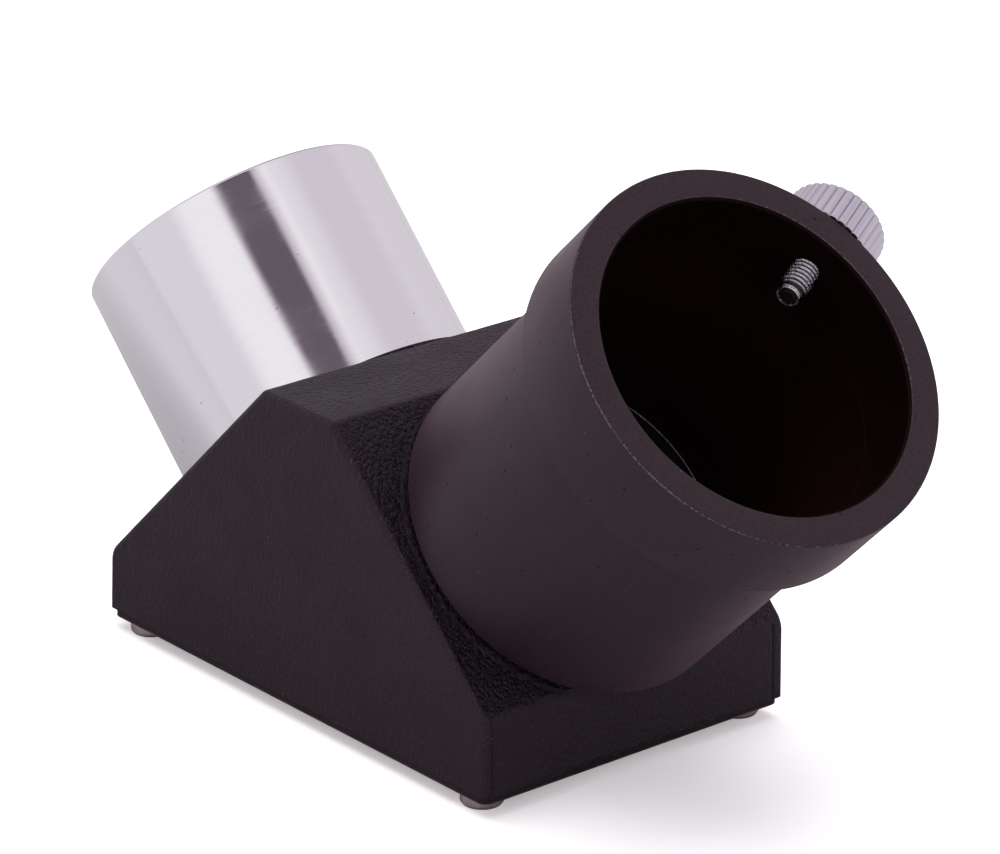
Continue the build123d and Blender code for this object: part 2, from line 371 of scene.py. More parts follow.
class Shader:
    """A Principled material whose texture nodes work in millimetres of the object's own space."""

    def __init__(self, name, color, metallic=0.0, roughness=0.5, **sockets):
        self.material = bpy.data.materials.new(name)
        self.material.use_nodes = True
        self.nodes = self.material.node_tree.nodes
        self.links = self.material.node_tree.links
        self.principled = self.nodes["Principled BSDF"]
        self.set("Base Color", (*color, 1))
        self.set("Metallic", metallic)
        self.set("Roughness", roughness)
        for socket, value in sockets.items():
            self.set(socket.replace("_", " "), value)
        self.millimetres = self.add("ShaderNodeTexCoord")["Object"]

    def set(self, socket, value):
        """Sets or links one of the shader's own sockets."""
        self.feed(self.principled.inputs[socket], value)

    def feed(self, socket, value):
        """Links a node's output to a socket, or sets a plain value on it."""
        if isinstance(value, bpy.types.NodeSocket):
            self.links.new(value, socket)
        else:
            socket.default_value = value

    def add(self, kind, settings=None, **inputs):
        """Adds a node, feeds its inputs, and returns its outputs."""
        node = self.nodes.new(kind)
        for key, value in (settings or {}).items():
            setattr(node, key, value)
        for key, value in inputs.items():
            key = key.replace("_", " ")
            socket = node.inputs[int(key[1:])] if key[0] == "i" and key[1:].isdigit() else node.inputs[key]
            self.feed(socket, value)
        return node.outputs

    def math(self, operation, first, second=0.0, third=0.0):
        """Output of a Math node."""
        return self.add("ShaderNodeMath", {"operation": operation}, i0=first, i1=second, i2=third)[0]

    def scaled(self, x=1.0, y=1.0, z=1.0):
        """Object coordinates stretched by a factor along each axis."""
        settings = {"operation": "MULTIPLY"}
        return self.add("ShaderNodeVectorMath", settings, i0=self.millimetres, i1=(x, y, z))[0]

    def noise(self, scale, detail=2.0, roughness=0.5, vector=None):
        """Noise from about 0 to 1, with scale in cycles per millimetre."""
        vector = vector or self.millimetres
        inputs = {"Vector": vector, "Scale": scale, "Detail": detail, "Roughness": roughness}
        return self.add("ShaderNodeTexNoise", None, **inputs)[0]

    def cells(self, scale, feature="F1", vector=None, smoothness=0.4):
        """Voronoi distance, with scale in cells per millimetre."""
        inputs = {"Vector": vector or self.millimetres, "Scale": scale}
        if feature == "SMOOTH_F1":
            inputs["Smoothness"] = smoothness
        return self.add("ShaderNodeTexVoronoi", {"feature": feature}, **inputs)["Distance"]

    def ramp(self, value, low, high, out_low=0.0, out_high=1.0):
        """Maps a value from low..high to out_low..out_high, smoothly, and clamps it."""
        settings = {"interpolation_type": "SMOOTHSTEP", "clamp": True}
        inputs = {"i0": value, "i1": low, "i2": high, "i3": out_low, "i4": out_high}
        return self.add("ShaderNodeMapRange", settings, **inputs)[0]

    def mix(self, share, first, second):
        """Mixes two colours."""
        colors = [c if isinstance(c, bpy.types.NodeSocket) else (*c, 1) for c in (first, second)]
        return self.add("ShaderNodeMix", {"data_type": "RGBA"}, i0=share, i6=colors[0], i7=colors[1])[2]

    def mask(self, name):
        """A number stored at each vertex by the mesh code."""
        return self.add("ShaderNodeAttribute", {"attribute_name": name})["Fac"]

    def bump(self, height, distance, strength):
        """Normal from a height map, with its full height in metres."""
        inputs = {"Height": height, "Distance": distance, "Strength": strength}
        return self.add("ShaderNodeBump", None, **inputs)["Normal"]


def in_frame(shader):
    """For a piece modelled in metres: texture coordinates in millimetres."""
    settings = {"operation": "SCALE"}
    shader.millimetres = shader.add("ShaderNodeVectorMath", settings, i0=shader.millimetres, i3=1 / MM)[0]
    return shader


def leather_plastic():
    """Black moulding with a fine pebbled grain, deeper and glossier where the mesh code says so."""
    shader = in_frame(Shader("black_leather_plastic", (0.008, 0.006, 0.008), Specular_IOR_Level=0.4))
    shader.set("Specular Tint", (1.0, 0.75, 0.97, 1))
    coarse = shader.mask("coarse")
    wobble = shader.noise(1.3, 2)
    stretched = shader.scaled(1.0, 1.0, 0.7)
    settings = {"operation": "MULTIPLY_ADD"}
    warped = shader.add("ShaderNodeVectorMath", settings, i0=wobble, i1=(0.5, 0.5, 0.5), i2=stretched)[0]
    pebbles = shader.cells(2.4, "SMOOTH_F1", warped, smoothness=0.35)
    creases = shader.cells(3.6, "DISTANCE_TO_EDGE", warped)
    fine = shader.noise(6.5, 3, 0.6)
    shallow = shader.math("MULTIPLY_ADD", pebbles, -0.8, shader.math("MULTIPLY", fine, 0.9))
    creases = shader.math("MULTIPLY", shader.ramp(creases, 0.0, 0.2), 0.55)
    deep = shader.math("MULTIPLY_ADD", pebbles, -1.5, creases)
    difference = shader.math("SUBTRACT", deep, shallow)
    height = shader.math("MULTIPLY_ADD", difference, coarse, shallow)
    grain = shader.math("MULTIPLY_ADD", coarse, 0.35, 0.9)
    shader.set("Normal", shader.bump(height, 0.14 * MM, grain))
    patches = shader.noise(0.12, 3, 0.6)
    roughness = shader.ramp(patches, 0.3, 0.7, 0.46, 0.56)
    roughness = shader.math("MULTIPLY_ADD", coarse, -0.2, roughness)
    shader.set("Roughness", shader.math("MULTIPLY_ADD", fine, 0.08, roughness))
    dust = shader.ramp(shader.cells(0.55), 0.03, 0.02)
    # Painted shade: the grain's creases are painted darker and its crests lighter, standing in for the grain's own
    # shading.
    crest = shader.ramp(height, -0.9, -0.1)
    tone = shader.mix(crest, (0.0015, 0.0008, 0.0012), (0.0075, 0.0055, 0.0068))
    flecks = shader.math("MULTIPLY_ADD", shader.noise(5.0, 3, 0.7), 1.2, shader.mask("wear"))
    worn = shader.math("MULTIPLY", shader.ramp(flecks, 1.72, 1.86), 0.6)
    tone = shader.mix(worn, tone, (0.12, 0.1, 0.11))
    shader.set("Base Color", shader.mix(shader.math("MULTIPLY", dust, 0.8), tone, (0.32, 0.31, 0.3)))
    return shader.material


def satin_black():
    """Satin black finish on turned metal: sandy grain, lathe marks, pinholes painted darker as painted shade, dust
    and rubbed edges.
    """
    tone = (0.0105, 0.0062, 0.0083)
    shader = Shader("satin_black_paint", tone, roughness=0.4, Specular_IOR_Level=0.385)
    shader.set("Specular Tint", (1.0, 0.79, 0.92, 1))
    shader.set("Sheen Weight", 0.09)
    shader.set("Sheen Roughness", 0.4)
    shader.set("Sheen Tint", (1.0, 0.55, 0.7, 1))
    sand = shader.noise(5.5, 3, 0.65)
    turning = shader.noise(1.0, 4, 0.7, shader.scaled(0.05, 0.05, 12.0))
    height = shader.math("MULTIPLY_ADD", turning, 0.35, sand)
    pits = shader.ramp(shader.cells(0.4), 0.085, 0.055)
    height = shader.math("MULTIPLY_ADD", pits, -2.0, height)
    shader.set("Normal", shader.bump(height, 0.022 * MM, 0.8))
    patches = shader.noise(0.1, 3, 0.6)
    roughness = shader.ramp(patches, 0.3, 0.7, 0.36, 0.46)
    roughness = shader.math("MULTIPLY_ADD", sand, 0.06, roughness)
    shader.set("Roughness", shader.math("MULTIPLY_ADD", pits, 0.3, roughness))
    darker, lighter, pit_shade = (tuple(share * c for c in tone) for share in (0.6, 1.5, 0.25))
    color = shader.mix(shader.ramp(sand, 0.35, 0.65), darker, lighter)
    # Painted shade: the pinholes are painted darker than the paint around them, on top of their dent in the bump.
    color = shader.mix(pits, color, pit_shade)
    dust = shader.ramp(shader.cells(0.3, vector=shader.scaled(1.1, 1.3, 0.9)), 0.02, 0.01)
    color = shader.mix(shader.math("MULTIPLY", dust, 0.6), color, (0.3, 0.28, 0.27))
    flecks = shader.math("MULTIPLY_ADD", shader.noise(3.0, 5, 0.8), 1.6, shader.mask("wear"))
    worn = shader.ramp(flecks, 1.55, 1.95)
    shader.set("Base Color", shader.mix(worn, color, (0.115, 0.094, 0.11)))
    return shader.material


def bore_black():
    """Matt black inside the tubes, with turning marks. Deep down it is painted a little less black, as painted
    light.
    """
    shader = Shader("matt_black_bore", (0.003, 0.001, 0.001), roughness=0.5, Specular_IOR_Level=0.08)
    shader.set("Specular Tint", (1.0, 0.6, 0.6, 1))
    turning = shader.noise(1.0, 4, 0.7, shader.scaled(0.05, 0.05, 10.0))
    depth = shader.add("ShaderNodeSeparateXYZ", None, i0=shader.millimetres)[2]
    deep = shader.ramp(depth, TUBE_MOUTH, TUBE_MOUTH - 22)
    shader.set("Normal", shader.bump(turning, 0.004 * MM, 0.5))
    shader.set("Roughness", shader.ramp(turning, 0.3, 0.7, 0.5, 0.65))
    near = shader.mix(turning, (0.0026, 0.0008, 0.0007), (0.004, 0.0014, 0.0012))
    # Painted light: deep down the bore is painted a lighter, reddish brown.
    shader.set("Base Color", shader.mix(deep, near, (0.017, 0.005, 0.0046)))
    return shader.material


def bright_aluminium():
    """Turned and polished barrel: fine rings, polishing strokes, soft smears and a few nicks, dented and painted
    dark as painted shade.
    """
    shader = Shader("polished_aluminium", (0.9, 0.885, 0.915), metallic=1.0, roughness=0.12)
    rings = shader.noise(1.0, 6, 0.75, shader.scaled(0.02, 0.02, 16.0))
    strokes = shader.noise(1.0, 3, 0.6, shader.scaled(0.22, 0.22, 8.0))
    waves = shader.noise(1.0, 2, 0.5, shader.scaled(0.08, 0.08, 1.4))
    smears = shader.noise(0.16, 4, 0.65)
    nicks = shader.ramp(shader.cells(0.28, vector=shader.scaled(1.0, 1.0, 2.0)), 0.05, 0.02)
    height = shader.math("MULTIPLY_ADD", strokes, 0.3, waves)
    height = shader.math("MULTIPLY_ADD", rings, 0.1, height)
    height = shader.math("MULTIPLY_ADD", nicks, -0.8, height)
    shader.set("Normal", shader.bump(height, 0.01 * MM, 0.8))
    scratches = shader.ramp(strokes, 0.56, 0.72)
    roughness = shader.ramp(smears, 0.35, 0.7, 0.06, 0.14)
    shader.set("Roughness", shader.math("MULTIPLY_ADD", scratches, 0.06, roughness))
    color = shader.mix(rings, (0.83, 0.82, 0.85), (0.97, 0.96, 0.98))
    # Painted shade: the nicks are painted dark, on top of their dent in the bump.
    shader.set("Base Color", shader.mix(nicks, color, (0.22, 0.19, 0.2)))
    return shader.material


def chrome(name="bright_chrome", dents=0.004, dent_scale=1.6, groove_shade_start=0.45):
    """Bright plating with a soft haze, tiny pits painted darker and painted shade in its grooves."""
    shader = Shader(name, (0.72, 0.7, 0.76), metallic=1.0, roughness=0.12)
    haze = shader.noise(dent_scale, 4, 0.65)
    pits = shader.ramp(shader.cells(1.6), 0.06, 0.02)
    height = shader.math("MULTIPLY_ADD", pits, -2.0, haze)
    shader.set("Normal", shader.bump(height, dents * MM, 0.5))
    shader.set("Roughness", shader.ramp(haze, 0.3, 0.7, 0.1, 0.2))
    color = shader.mix(haze, (0.62, 0.595, 0.665), (0.73, 0.705, 0.765))
    # Painted shade: the grooves of the flutes and the thread are painted dark.
    groove_shade = shader.ramp(shader.mask("groove"), groove_shade_start, 0.95)
    color = shader.mix(groove_shade, color, (0.05, 0.045, 0.055))
    # Painted shade: the tiny pits are painted darker.
    shader.set("Base Color", shader.mix(pits, color, (0.3, 0.28, 0.3)))
    return shader.material


def zinc_steel():
    """Plated screw steel, dulled and lightly stained."""
    shader = Shader("zinc_steel", (0.62, 0.54, 0.55), metallic=1.0, roughness=0.35)
    stains = shader.noise(1.1, 5, 0.7)
    turning = shader.noise(6.0, 3, 0.6)
    shader.set("Normal", shader.bump(turning, 0.012 * MM, 0.5))
    shader.set("Roughness", shader.ramp(stains, 0.3, 0.7, 0.28, 0.5))
    shader.set("Base Color", shader.mix(stains, (0.42, 0.32, 0.29), (0.74, 0.66, 0.68)))
    return shader.material


def dark_anodised(name="dark_anodised", low=0.2, high=0.5, edge_wear_and_highlight=(0.3, 0.28, 0.27)):
    """Matt black anodised rings, their edges painted lighter: rubbed down to the metal on the ring nuts, and a
    painted highlight on the stop ring.
    """
    shader = Shader(name, (0.02, 0.019, 0.02), metallic=0.3, roughness=0.4)
    turning = shader.noise(1.0, 4, 0.7, shader.scaled(0.05, 0.05, 10.0))
    worn = shader.ramp(shader.math("MULTIPLY", shader.mask("wear"), shader.noise(0.7, 3, 0.6)), low, high)
    shader.set("Normal", shader.bump(turning, 0.004 * MM, 0.5))
    shader.set("Roughness", shader.ramp(turning, 0.3, 0.7, 0.32, 0.48))
    # The edge colour is wear on the ring nuts and a painted highlight on the stop ring.
    shader.set("Base Color", shader.mix(worn, (0.02, 0.018, 0.019), edge_wear_and_highlight))
    return shader.material


def plate_paint():
    """Black paint on the base plate, scuffed underneath and brown along its lower edge."""
    shader = Shader("black_plate_paint", (0.008, 0.006, 0.008), roughness=0.5, Specular_IOR_Level=0.34)
    shader = in_frame(shader)
    shader.set("Specular Tint", (1.0, 0.76, 0.93, 1))
    peel = shader.noise(5.0, 3, 0.6)
    scuffs = shader.noise(1.0, 5, 0.7, shader.scaled(0.6, 4.0, 1.0))
    worn = shader.ramp(scuffs, 0.66, 0.74)
    height = shader.add("ShaderNodeSeparateXYZ", None, i0=shader.millimetres)[2]
    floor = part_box("base_plate")[0].z / MM
    edge = shader.math("MULTIPLY_ADD", shader.noise(0.5, 4, 0.7), -0.3, height)
    # Brown along the plate's lower edge, with a wavy upper border.
    brown_lower_edge = shader.ramp(edge, floor, floor - 0.1)
    shader.set("Normal", shader.bump(peel, 0.01 * MM, 0.6))
    shader.set("Roughness", shader.ramp(scuffs, 0.3, 0.7, 0.42, 0.58))
    tone = shader.mix(worn, (0.007, 0.005, 0.007), (0.03, 0.026, 0.028))
    shader.set("Base Color", shader.mix(shader.math("MULTIPLY", brown_lower_edge, 0.5), tone, (0.2, 0.11, 0.075)))
    return shader.material


def mirror_coating():
    """First-surface aluminium coating with a trace of dust."""
    shader = in_frame(Shader("mirror_coating", (0.9, 0.915, 0.925), metallic=1.0, roughness=0.02))
    specks = shader.ramp(shader.cells(0.5), 0.05, 0.03)
    haze = shader.ramp(shader.noise(0.2, 4, 0.6), 0.4, 0.7, 0.015, 0.05)
    shader.set("Normal", shader.bump(specks, 0.002 * MM, 0.4))
    shader.set("Roughness", shader.math("MULTIPLY_ADD", specks, 0.4, haze))
    shader.set("Base Color", shader.mix(specks, (0.9, 0.915, 0.925), (0.6, 0.6, 0.58)))
    return shader.material


def pad_adhesive():
    """Grey bonding film."""
    shader = in_frame(Shader("bonding_film", (0.1, 0.1, 0.1), roughness=0.7))
    fibres = shader.noise(3.0, 4, 0.7)
    shader.set("Normal", shader.bump(fibres, 0.02 * MM, 0.6))
    shader.set("Roughness", shader.ramp(fibres, 0.3, 0.7, 0.6, 0.8))
    shader.set("Base Color", shader.mix(fibres, (0.08, 0.08, 0.082), (0.14, 0.14, 0.138)))
    return shader.material


def nylon():
    """Black nylon tip."""
    shader = Shader("black_nylon", (0.006, 0.005, 0.005), roughness=0.45, Specular_IOR_Level=0.2)
    grain = shader.noise(7.0, 3, 0.6)
    shader.set("Normal", shader.bump(grain, 0.01 * MM, 0.5))
    shader.set("Roughness", shader.ramp(grain, 0.3, 0.7, 0.35, 0.5))
    shader.set("Base Color", shader.mix(grain, (0.004, 0.0035, 0.0035), (0.009, 0.008, 0.008)))
    return shader.material


def table_paper():
    """Pale matt table. Reflections see it dimmer, most of all close under the object, as a painted shadow, and
    glowing far off.
    """
    shader = in_frame(Shader("table_paper", (0.93, 0.93, 0.93), roughness=0.9, Specular_IOR_Level=0.0))
    path = shader.add("ShaderNodeLightPath")
    away = shader.add("ShaderNodeVectorMath", {"operation": "LENGTH"}, i0=shader.millimetres)["Value"]
    # Painted shadow: glossy rays see the table darker close under the object.
    reflected_painted_shadow = shader.mix(shader.ramp(away, 40.0, 130.0), (0.35, 0.335, 0.35), (0.5, 0.485, 0.5))
    far_glow = shader.ramp(away, 300.0, 2500.0, 0.0, FAR_TABLE_GLOW)
    far_glow = shader.math("MULTIPLY", path["Is Glossy Ray"], far_glow)
    shader.set("Base Color", shader.mix(path["Is Glossy Ray"], (0.95, 0.95, 0.95), reflected_painted_shadow))
    shader.set("Emission Color", (1.0, 0.97, 1.0, 1))
    shader.set("Emission Strength", shader.math("MULTIPLY_ADD", path["Is Camera Ray"], TABLE_GLOW, far_glow))
    return shader.material


# ---------------------------------------------------------------- pieces


def finish_piece(piece, place, node, body, slot, *materials):
    """Puts a new piece where its CAD node is, and gives it its materials."""
    for material in materials:
        if material.name not in piece.data.materials:
            piece.data.materials.append(material)
    piece.matrix_world = place
    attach(piece, body)
    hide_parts(node)
    return piece


def dress(node, material, edge=0.0):
    """Keeps a CAD node's shape, with its own material and slightly broken edges."""
    piece = NODES[node]
    piece.data.materials.clear()
    piece.data.materials.append(material)
    if edge:
        soften(piece, edge)
    return piece


def slice_up(bm, pitch, low, high):
    """Cuts every face along evenly spaced planes, so that the surface can carry the grain."""
    for axis in range(3):
        normal = Vector([1.0 if i == axis else 0.0 for i in range(3)])
        count = math.ceil((high[axis] - low[axis]) / pitch)
        places = [low[axis] + (high[axis] - low[axis]) * i / count for i in range(1, count)]
        if axis == 1:
            for side, inset in PARTING_LINES:
                for offset in (-1, -0.5, 0, 0.5, 1):
                    places.append(side * (high[1] - inset * MM) + offset * PARTING_HALF_WIDTH * MM)
        for place in places:
            geometry = bm.verts[:] + bm.edges[:] + bm.faces[:]
            bmesh.ops.bisect_plane(bm, geom=geometry, plane_co=normal * place, plane_no=normal, dist=1e-7)


def make_housing(material):
    """Moulded housing with a modelled grain, a parting line on each end face and worn edges."""
    low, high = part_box("housing")
    bm = bmesh.new()
    bm.from_mesh(NODES["housing"].data)
    bmesh.ops.remove_doubles(bm, verts=bm.verts, dist=1e-6)
    slice_up(bm, GRAIN_PITCH * MM, low, high)
    bm.normal_update()
    coarse_layer = bm.verts.layers.float.new("coarse")
    wear_layer = bm.verts.layers.float.new("wear")
    moves = {}
    for vertex in bm.verts:
        normal = vertex.normal
        sloped = max(0.0, min(1.0, 10 * abs(normal.x * normal.z) - 4))
        flat_top = max(0.0, normal.z) ** 8
        coarse = max(sloped * (1 - normal.y**2), COARSE_ON_TOP * flat_top)
        vertex[coarse_layer] = coarse
        flatness = max(abs(normal.y), abs(normal.x), abs(normal.z), abs(normal.x + normal.z) / math.sqrt(2))
        flatness = max(flatness, abs(normal.x - normal.z) / math.sqrt(2))
        handled = is_outer(vertex, low, high) and not near_boss(vertex.co)
        vertex[wear_layer] = min(1.0, max(0.0, (0.999 - flatness) * EDGE_WEAR)) if handled else 0.0
        share = GRAIN_ON_FLATS + (1 - GRAIN_ON_FLATS) * coarse
        height = grain_height(vertex.co / MM) * GRAIN_HEIGHT * share
        height += parting_line(vertex.co, normal, high)
        moves[vertex] = normal * height * MM
    for vertex, move in moves.items():
        if is_outer(vertex, low, high):
            vertex.co += move
    piece = smooth(from_bmesh("housing_shell", bm), 38)
    return finish_piece(piece, Matrix.Identity(4), "housing", "diagonal", "black_plastic", material)


def near_boss(place):
    """Whether a point is at the foot of a tube."""
    for direction in (NOSEPIECE_DIRECTION, EYEPIECE_DIRECTION):
        offset = place - VERTEX
        along = offset.dot(direction)
        if along > (FACE_DISTANCE - 0.6) * MM and (offset - direction * along).length < BOSS_RADIUS * MM:
            return True
    return False


def is_outer(vertex, low, high):
    """Whether a vertex is on the outside, clear of the joints with the tubes and the base plate."""
    place = vertex.co
    if place.z < low.z + 0.3 * MM:
        return False
    for direction in (NOSEPIECE_DIRECTION, EYEPIECE_DIRECTION):
        offset = place - VERTEX
        along = offset.dot(direction)
        across = (offset - direction * along).length
        if along > (FACE_DISTANCE - 0.5) * MM and across < JOINT_RADIUS * MM:
            return False
    depth = min(high.y - abs(place.y), place.x - low.x, high.x - place.x)
    offset = place - VERTEX
    face = max(offset.dot(NOSEPIECE_DIRECTION), offset.dot(EYEPIECE_DIRECTION)) / MM
    return depth < SKIN_DEPTH * MM or face > FACE_DISTANCE - 1 or place.z > high.z - MM


def grain_height(place):
    """Leather grain, from about -1 to 1."""
    return noise.noise(place) * 0.9 + noise.noise(place * 0.35) * 0.4


def parting_line(place, normal, high):
    """Fine groove where the mould closed, on both end faces beside their corners, in millimetres."""
    if abs(normal.x) < 0.9:
        return 0.0
    line = min(abs(place.y - side * (high.y - inset * MM)) for side, inset in PARTING_LINES)
    return max(0.0, 1 - line / (PARTING_HALF_WIDTH * MM)) * -PARTING_DEPTH


def make_nosepiece(material, inner):
    """Polished barrel with a cut filter thread inside its mouth."""
    thread_end = NOSEPIECE_MOUTH - 0.3
    thread_start = thread_end - FILTER_THREAD_DEPTH
    rows = rounded(
        [
            (NOSEPIECE_BORE_RADIUS, SPIGOT_END),
            (SPIGOT_RADIUS, SPIGOT_END, 0.15),
            (SPIGOT_RADIUS, SHOULDER),
            (NOSEPIECE_RADIUS, SHOULDER, 0.1),
            (NOSEPIECE_RADIUS, NOSEPIECE_MOUTH - MOUTH_CHAMFER, 0.12),
            (NOSEPIECE_RADIUS - MOUTH_CHAMFER, NOSEPIECE_MOUTH, 0.12),
            (FILTER_THREAD_RADIUS + FILTER_THREAD_TOOTH + 0.2, NOSEPIECE_MOUTH, 0.1),
        ]
    )
    rows += thread_rows(FILTER_THREAD_RADIUS, thread_end, thread_start, FILTER_THREAD_PITCH)
    rows += [(NOSEPIECE_BORE_RADIUS, thread_start, 0.0)]
    settings = {"pitch": FILTER_THREAD_PITCH, "tooth_height": FILTER_THREAD_TOOTH}
    piece = smooth(revolve("nosepiece_barrel", rows, TUBE_SEGMENTS, **settings), 40)
    piece.data.materials.append(material)
    piece.data.materials.append(inner)
    for face in piece.data.polygons:
        across = math.hypot(face.center.x, face.center.y)
        face.material_index = int(across < FILTER_THREAD_RADIUS - 0.05 and face.normal.z < 0.5)
    return finish_piece(piece, NOSEPIECE_FRAME, "nosepiece", "diagonal", "bright_aluminium", material, inner)


def make_tube(material, inner):
    """Eyepiece tube with its collar, lead-in and the tapped hole for the thumbscrew."""
    rows = rounded(
        [
            (TUBE_BORE_RADIUS, SPIGOT_END),
            (SPIGOT_RADIUS, SPIGOT_END, 0.15),
            (SPIGOT_RADIUS, SHOULDER),
            (TUBE_RADIUS - TUBE_FOOT_CHAMFER, SHOULDER),
            (TUBE_RADIUS, SHOULDER + TUBE_FOOT_CHAMFER, 0.5),
            (TUBE_RADIUS, COLLAR_START),
            (COLLAR_RADIUS, COLLAR_START, 0.14),
            (COLLAR_RADIUS, TUBE_MOUTH, 0.22),
            (LEAD_IN_RADIUS + LEAD_IN_CHAMFER, TUBE_MOUTH, 0.22),
            (LEAD_IN_RADIUS, TUBE_MOUTH - LEAD_IN_CHAMFER, 0.1),
            (LEAD_IN_RADIUS, LEAD_IN_START),
            (BORE_RADIUS, LEAD_IN_START),
            (BORE_RADIUS, BORE_FLOOR),
            (STOP_RING_RADIUS, BORE_FLOOR),
            (STOP_RING_RADIUS, STOP_RING_START),
            (TUBE_BORE_RADIUS, STOP_RING_START),
        ]
    )
    piece = revolve("eyepiece_tube_body", rows, TUBE_SEGMENTS)
    piece.matrix_world = EYEPIECE_FRAME
    low, high = DRILL_START, COLLAR_RADIUS + 1
    hole = rounded([(0, low), (TAPPED_HOLE_RADIUS, low), (TAPPED_HOLE_RADIUS, high), (0, high)])
    drill = revolve("drill", hole, SMALL_SEGMENTS, closed=False)
    drill.matrix_world = SCREW_FRAME
    cut(piece, drill)
    smooth(piece, 35)
    shade_wear(piece)
    piece.data.materials.clear()
    piece.data.materials.append(material)
    piece.data.materials.append(inner)
    for face in piece.data.polygons:
        across = math.hypot(face.center.x, face.center.y)
        inside = across < LEAD_IN_RADIUS + 0.2 and TUBE_MOUTH - 0.07 > face.center.z > STOP_RING_START - 1
        face.material_index = int(inside)
    return finish_piece(piece, EYEPIECE_FRAME, "eyepiece_tube", "diagonal", "black_anodised", material, inner)


def shade_wear(piece):
    """Rubs the collar's mouth most on the side that is handled."""
    marks = piece.data.attributes["wear"].data
    for vertex, mark in zip(piece.data.vertices, marks):
        if vertex.co.z > TUBE_MOUTH - 1:
            inner = math.hypot(vertex.co.x, vertex.co.y) < LEAD_IN_RADIUS + 1
            side = math.radians(INNER_RUBBED_SIDE if inner else RUBBED_SIDE)
            turn = math.atan2(vertex.co.y, vertex.co.x) - side
            mark.value *= RUBBED_LEAST + (1 - RUBBED_LEAST) * (1 + math.cos(turn)) / 2
        else:
            mark.value *= WEAR_BELOW_MOUTH


def make_stop_ring(material):
    """Ring at the bottom of the bore, its inner edge painted bright as a painted highlight."""
    rows = rounded(
        [
            (STOP_RING_HOLE, STOP_RING_START, 0.2),
            (STOP_RING_RADIUS, STOP_RING_START, 0.1),
            (STOP_RING_RADIUS, BORE_FLOOR, 0.3),
            (STOP_RING_HOLE, BORE_FLOOR, 0.25),
        ]
    )
    piece = smooth(revolve("stop_ring", rows, TUBE_SEGMENTS))
    return finish_piece(piece, EYEPIECE_FRAME, "eyepiece_stop_ring", "diagonal", "dark_aluminium", material)


def make_ring_nut(name, node, place, material):
    """Threaded ring with two spanner slots."""
    rows = rounded(
        [
            (NUT_BORE, NUT_START, 0.12),
            (NUT_RADIUS, NUT_START, 0.2),
            (NUT_RADIUS, NUT_END, 0.1),
            (NUT_BORE, NUT_END, 0.1),
        ]
    )
    piece = revolve(name, rows, TUBE_SEGMENTS)
    slot = box_cutter(NUT_SLOT_WIDTH, 2 * NUT_RADIUS + 2, NUT_START - 1, NUT_START + NUT_SLOT_DEPTH)
    cut(piece, slot)
    smooth(piece)
    return finish_piece(piece, place, node, "diagonal", "dark_aluminium", material)


def make_stud(material):
    """Threaded shank of the thumbscrew, drilled at its end for the tip."""
    root = STUD_RADIUS - STUD_TOOTH
    face = STUD_END + root - STUD_FACE_RADIUS
    rows = [
        (0, TIP_SEAT, 0.0),
        (TIP_RADIUS + 0.03, TIP_SEAT, 0.0),
        (TIP_RADIUS + 0.03, STUD_END + 0.05, 0.0),
        (TIP_RADIUS + 0.08, STUD_END, 0.0),
        (STUD_FACE_RADIUS, STUD_END, 0.0),
    ]
    rows += thread_rows(root, face, STUD_HEAD - 0.2, STUD_PITCH, samples=14)
    rows += [(root, STUD_HEAD, 0.0), (0, STUD_HEAD, 0.0)]
    settings = {"closed": False, "pitch": STUD_PITCH, "tooth_height": STUD_TOOTH}
    piece = smooth(revolve("thumbscrew_thread", rows, SMALL_SEGMENTS, **settings), 50)
    floor, crest = root + 0.2 * STUD_TOOTH, STUD_RADIUS - 0.25 * STUD_TOOTH
    mark_grooves(piece, floor, crest, STUD_END + 0.3, STUD_HEAD)
    return finish_piece(piece, SCREW_FRAME, "thumbscrew_stud", "thumbscrew", "bright_chrome", material)


def make_tip(material):
    """Nylon plug in the end of the stud."""
    back = TIP_SEAT - 0.05
    rows = rounded([(0, TIP_END), (TIP_RADIUS, TIP_END, 0.15), (TIP_RADIUS, back), (0, back)])
    piece = smooth(revolve("thumbscrew_nylon_tip", rows, SMALL_SEGMENTS, closed=False))
    return finish_piece(piece, SCREW_FRAME, "thumbscrew_tip", "thumbscrew_tip", "black_nylon", material)


def flute(radius, angle):
    """Radius change of the straight flutes: broad rounded crests with narrow grooves between them."""
    room = radius - (KNOB_RADIUS - FLUTE_DEPTH)
    if room <= 0:
        return 0.0
    turns = (angle * FLUTE_COUNT / (2 * math.pi)) % 1
    groove = 0.25 * abs(2 * turns - 1) ** 2 + 0.75 * abs(2 * turns - 1) ** 5
    return -room * groove


def make_knob(material):
    """Fluted knob on the stud's outer end."""
    rows = rounded(
        [
            (0, STUD_HEAD + 0.02),
            (KNOB_BORE, STUD_HEAD + 0.02),
            (KNOB_BORE, KNOB_START),
            (KNOB_RADIUS, KNOB_START, 0.1),
            (KNOB_RADIUS, KNOB_END - 0.14, 0.08),
            (KNOB_RADIUS - 0.12, KNOB_END, 0.08),
            (0, KNOB_END),
        ]
    )
    piece = smooth(revolve("thumbscrew_fluted_knob", rows, FLUTE_COUNT * 16, closed=False, flute=flute), 50)
    floor, crest = KNOB_RADIUS - FLUTE_DEPTH, KNOB_RADIUS - 0.3 * FLUTE_DEPTH
    mark_grooves(piece, floor, crest, KNOB_START + 0.2, KNOB_END - 0.25)
    return finish_piece(piece, SCREW_FRAME, "thumbscrew_knob", "thumbscrew", "bright_chrome", material)


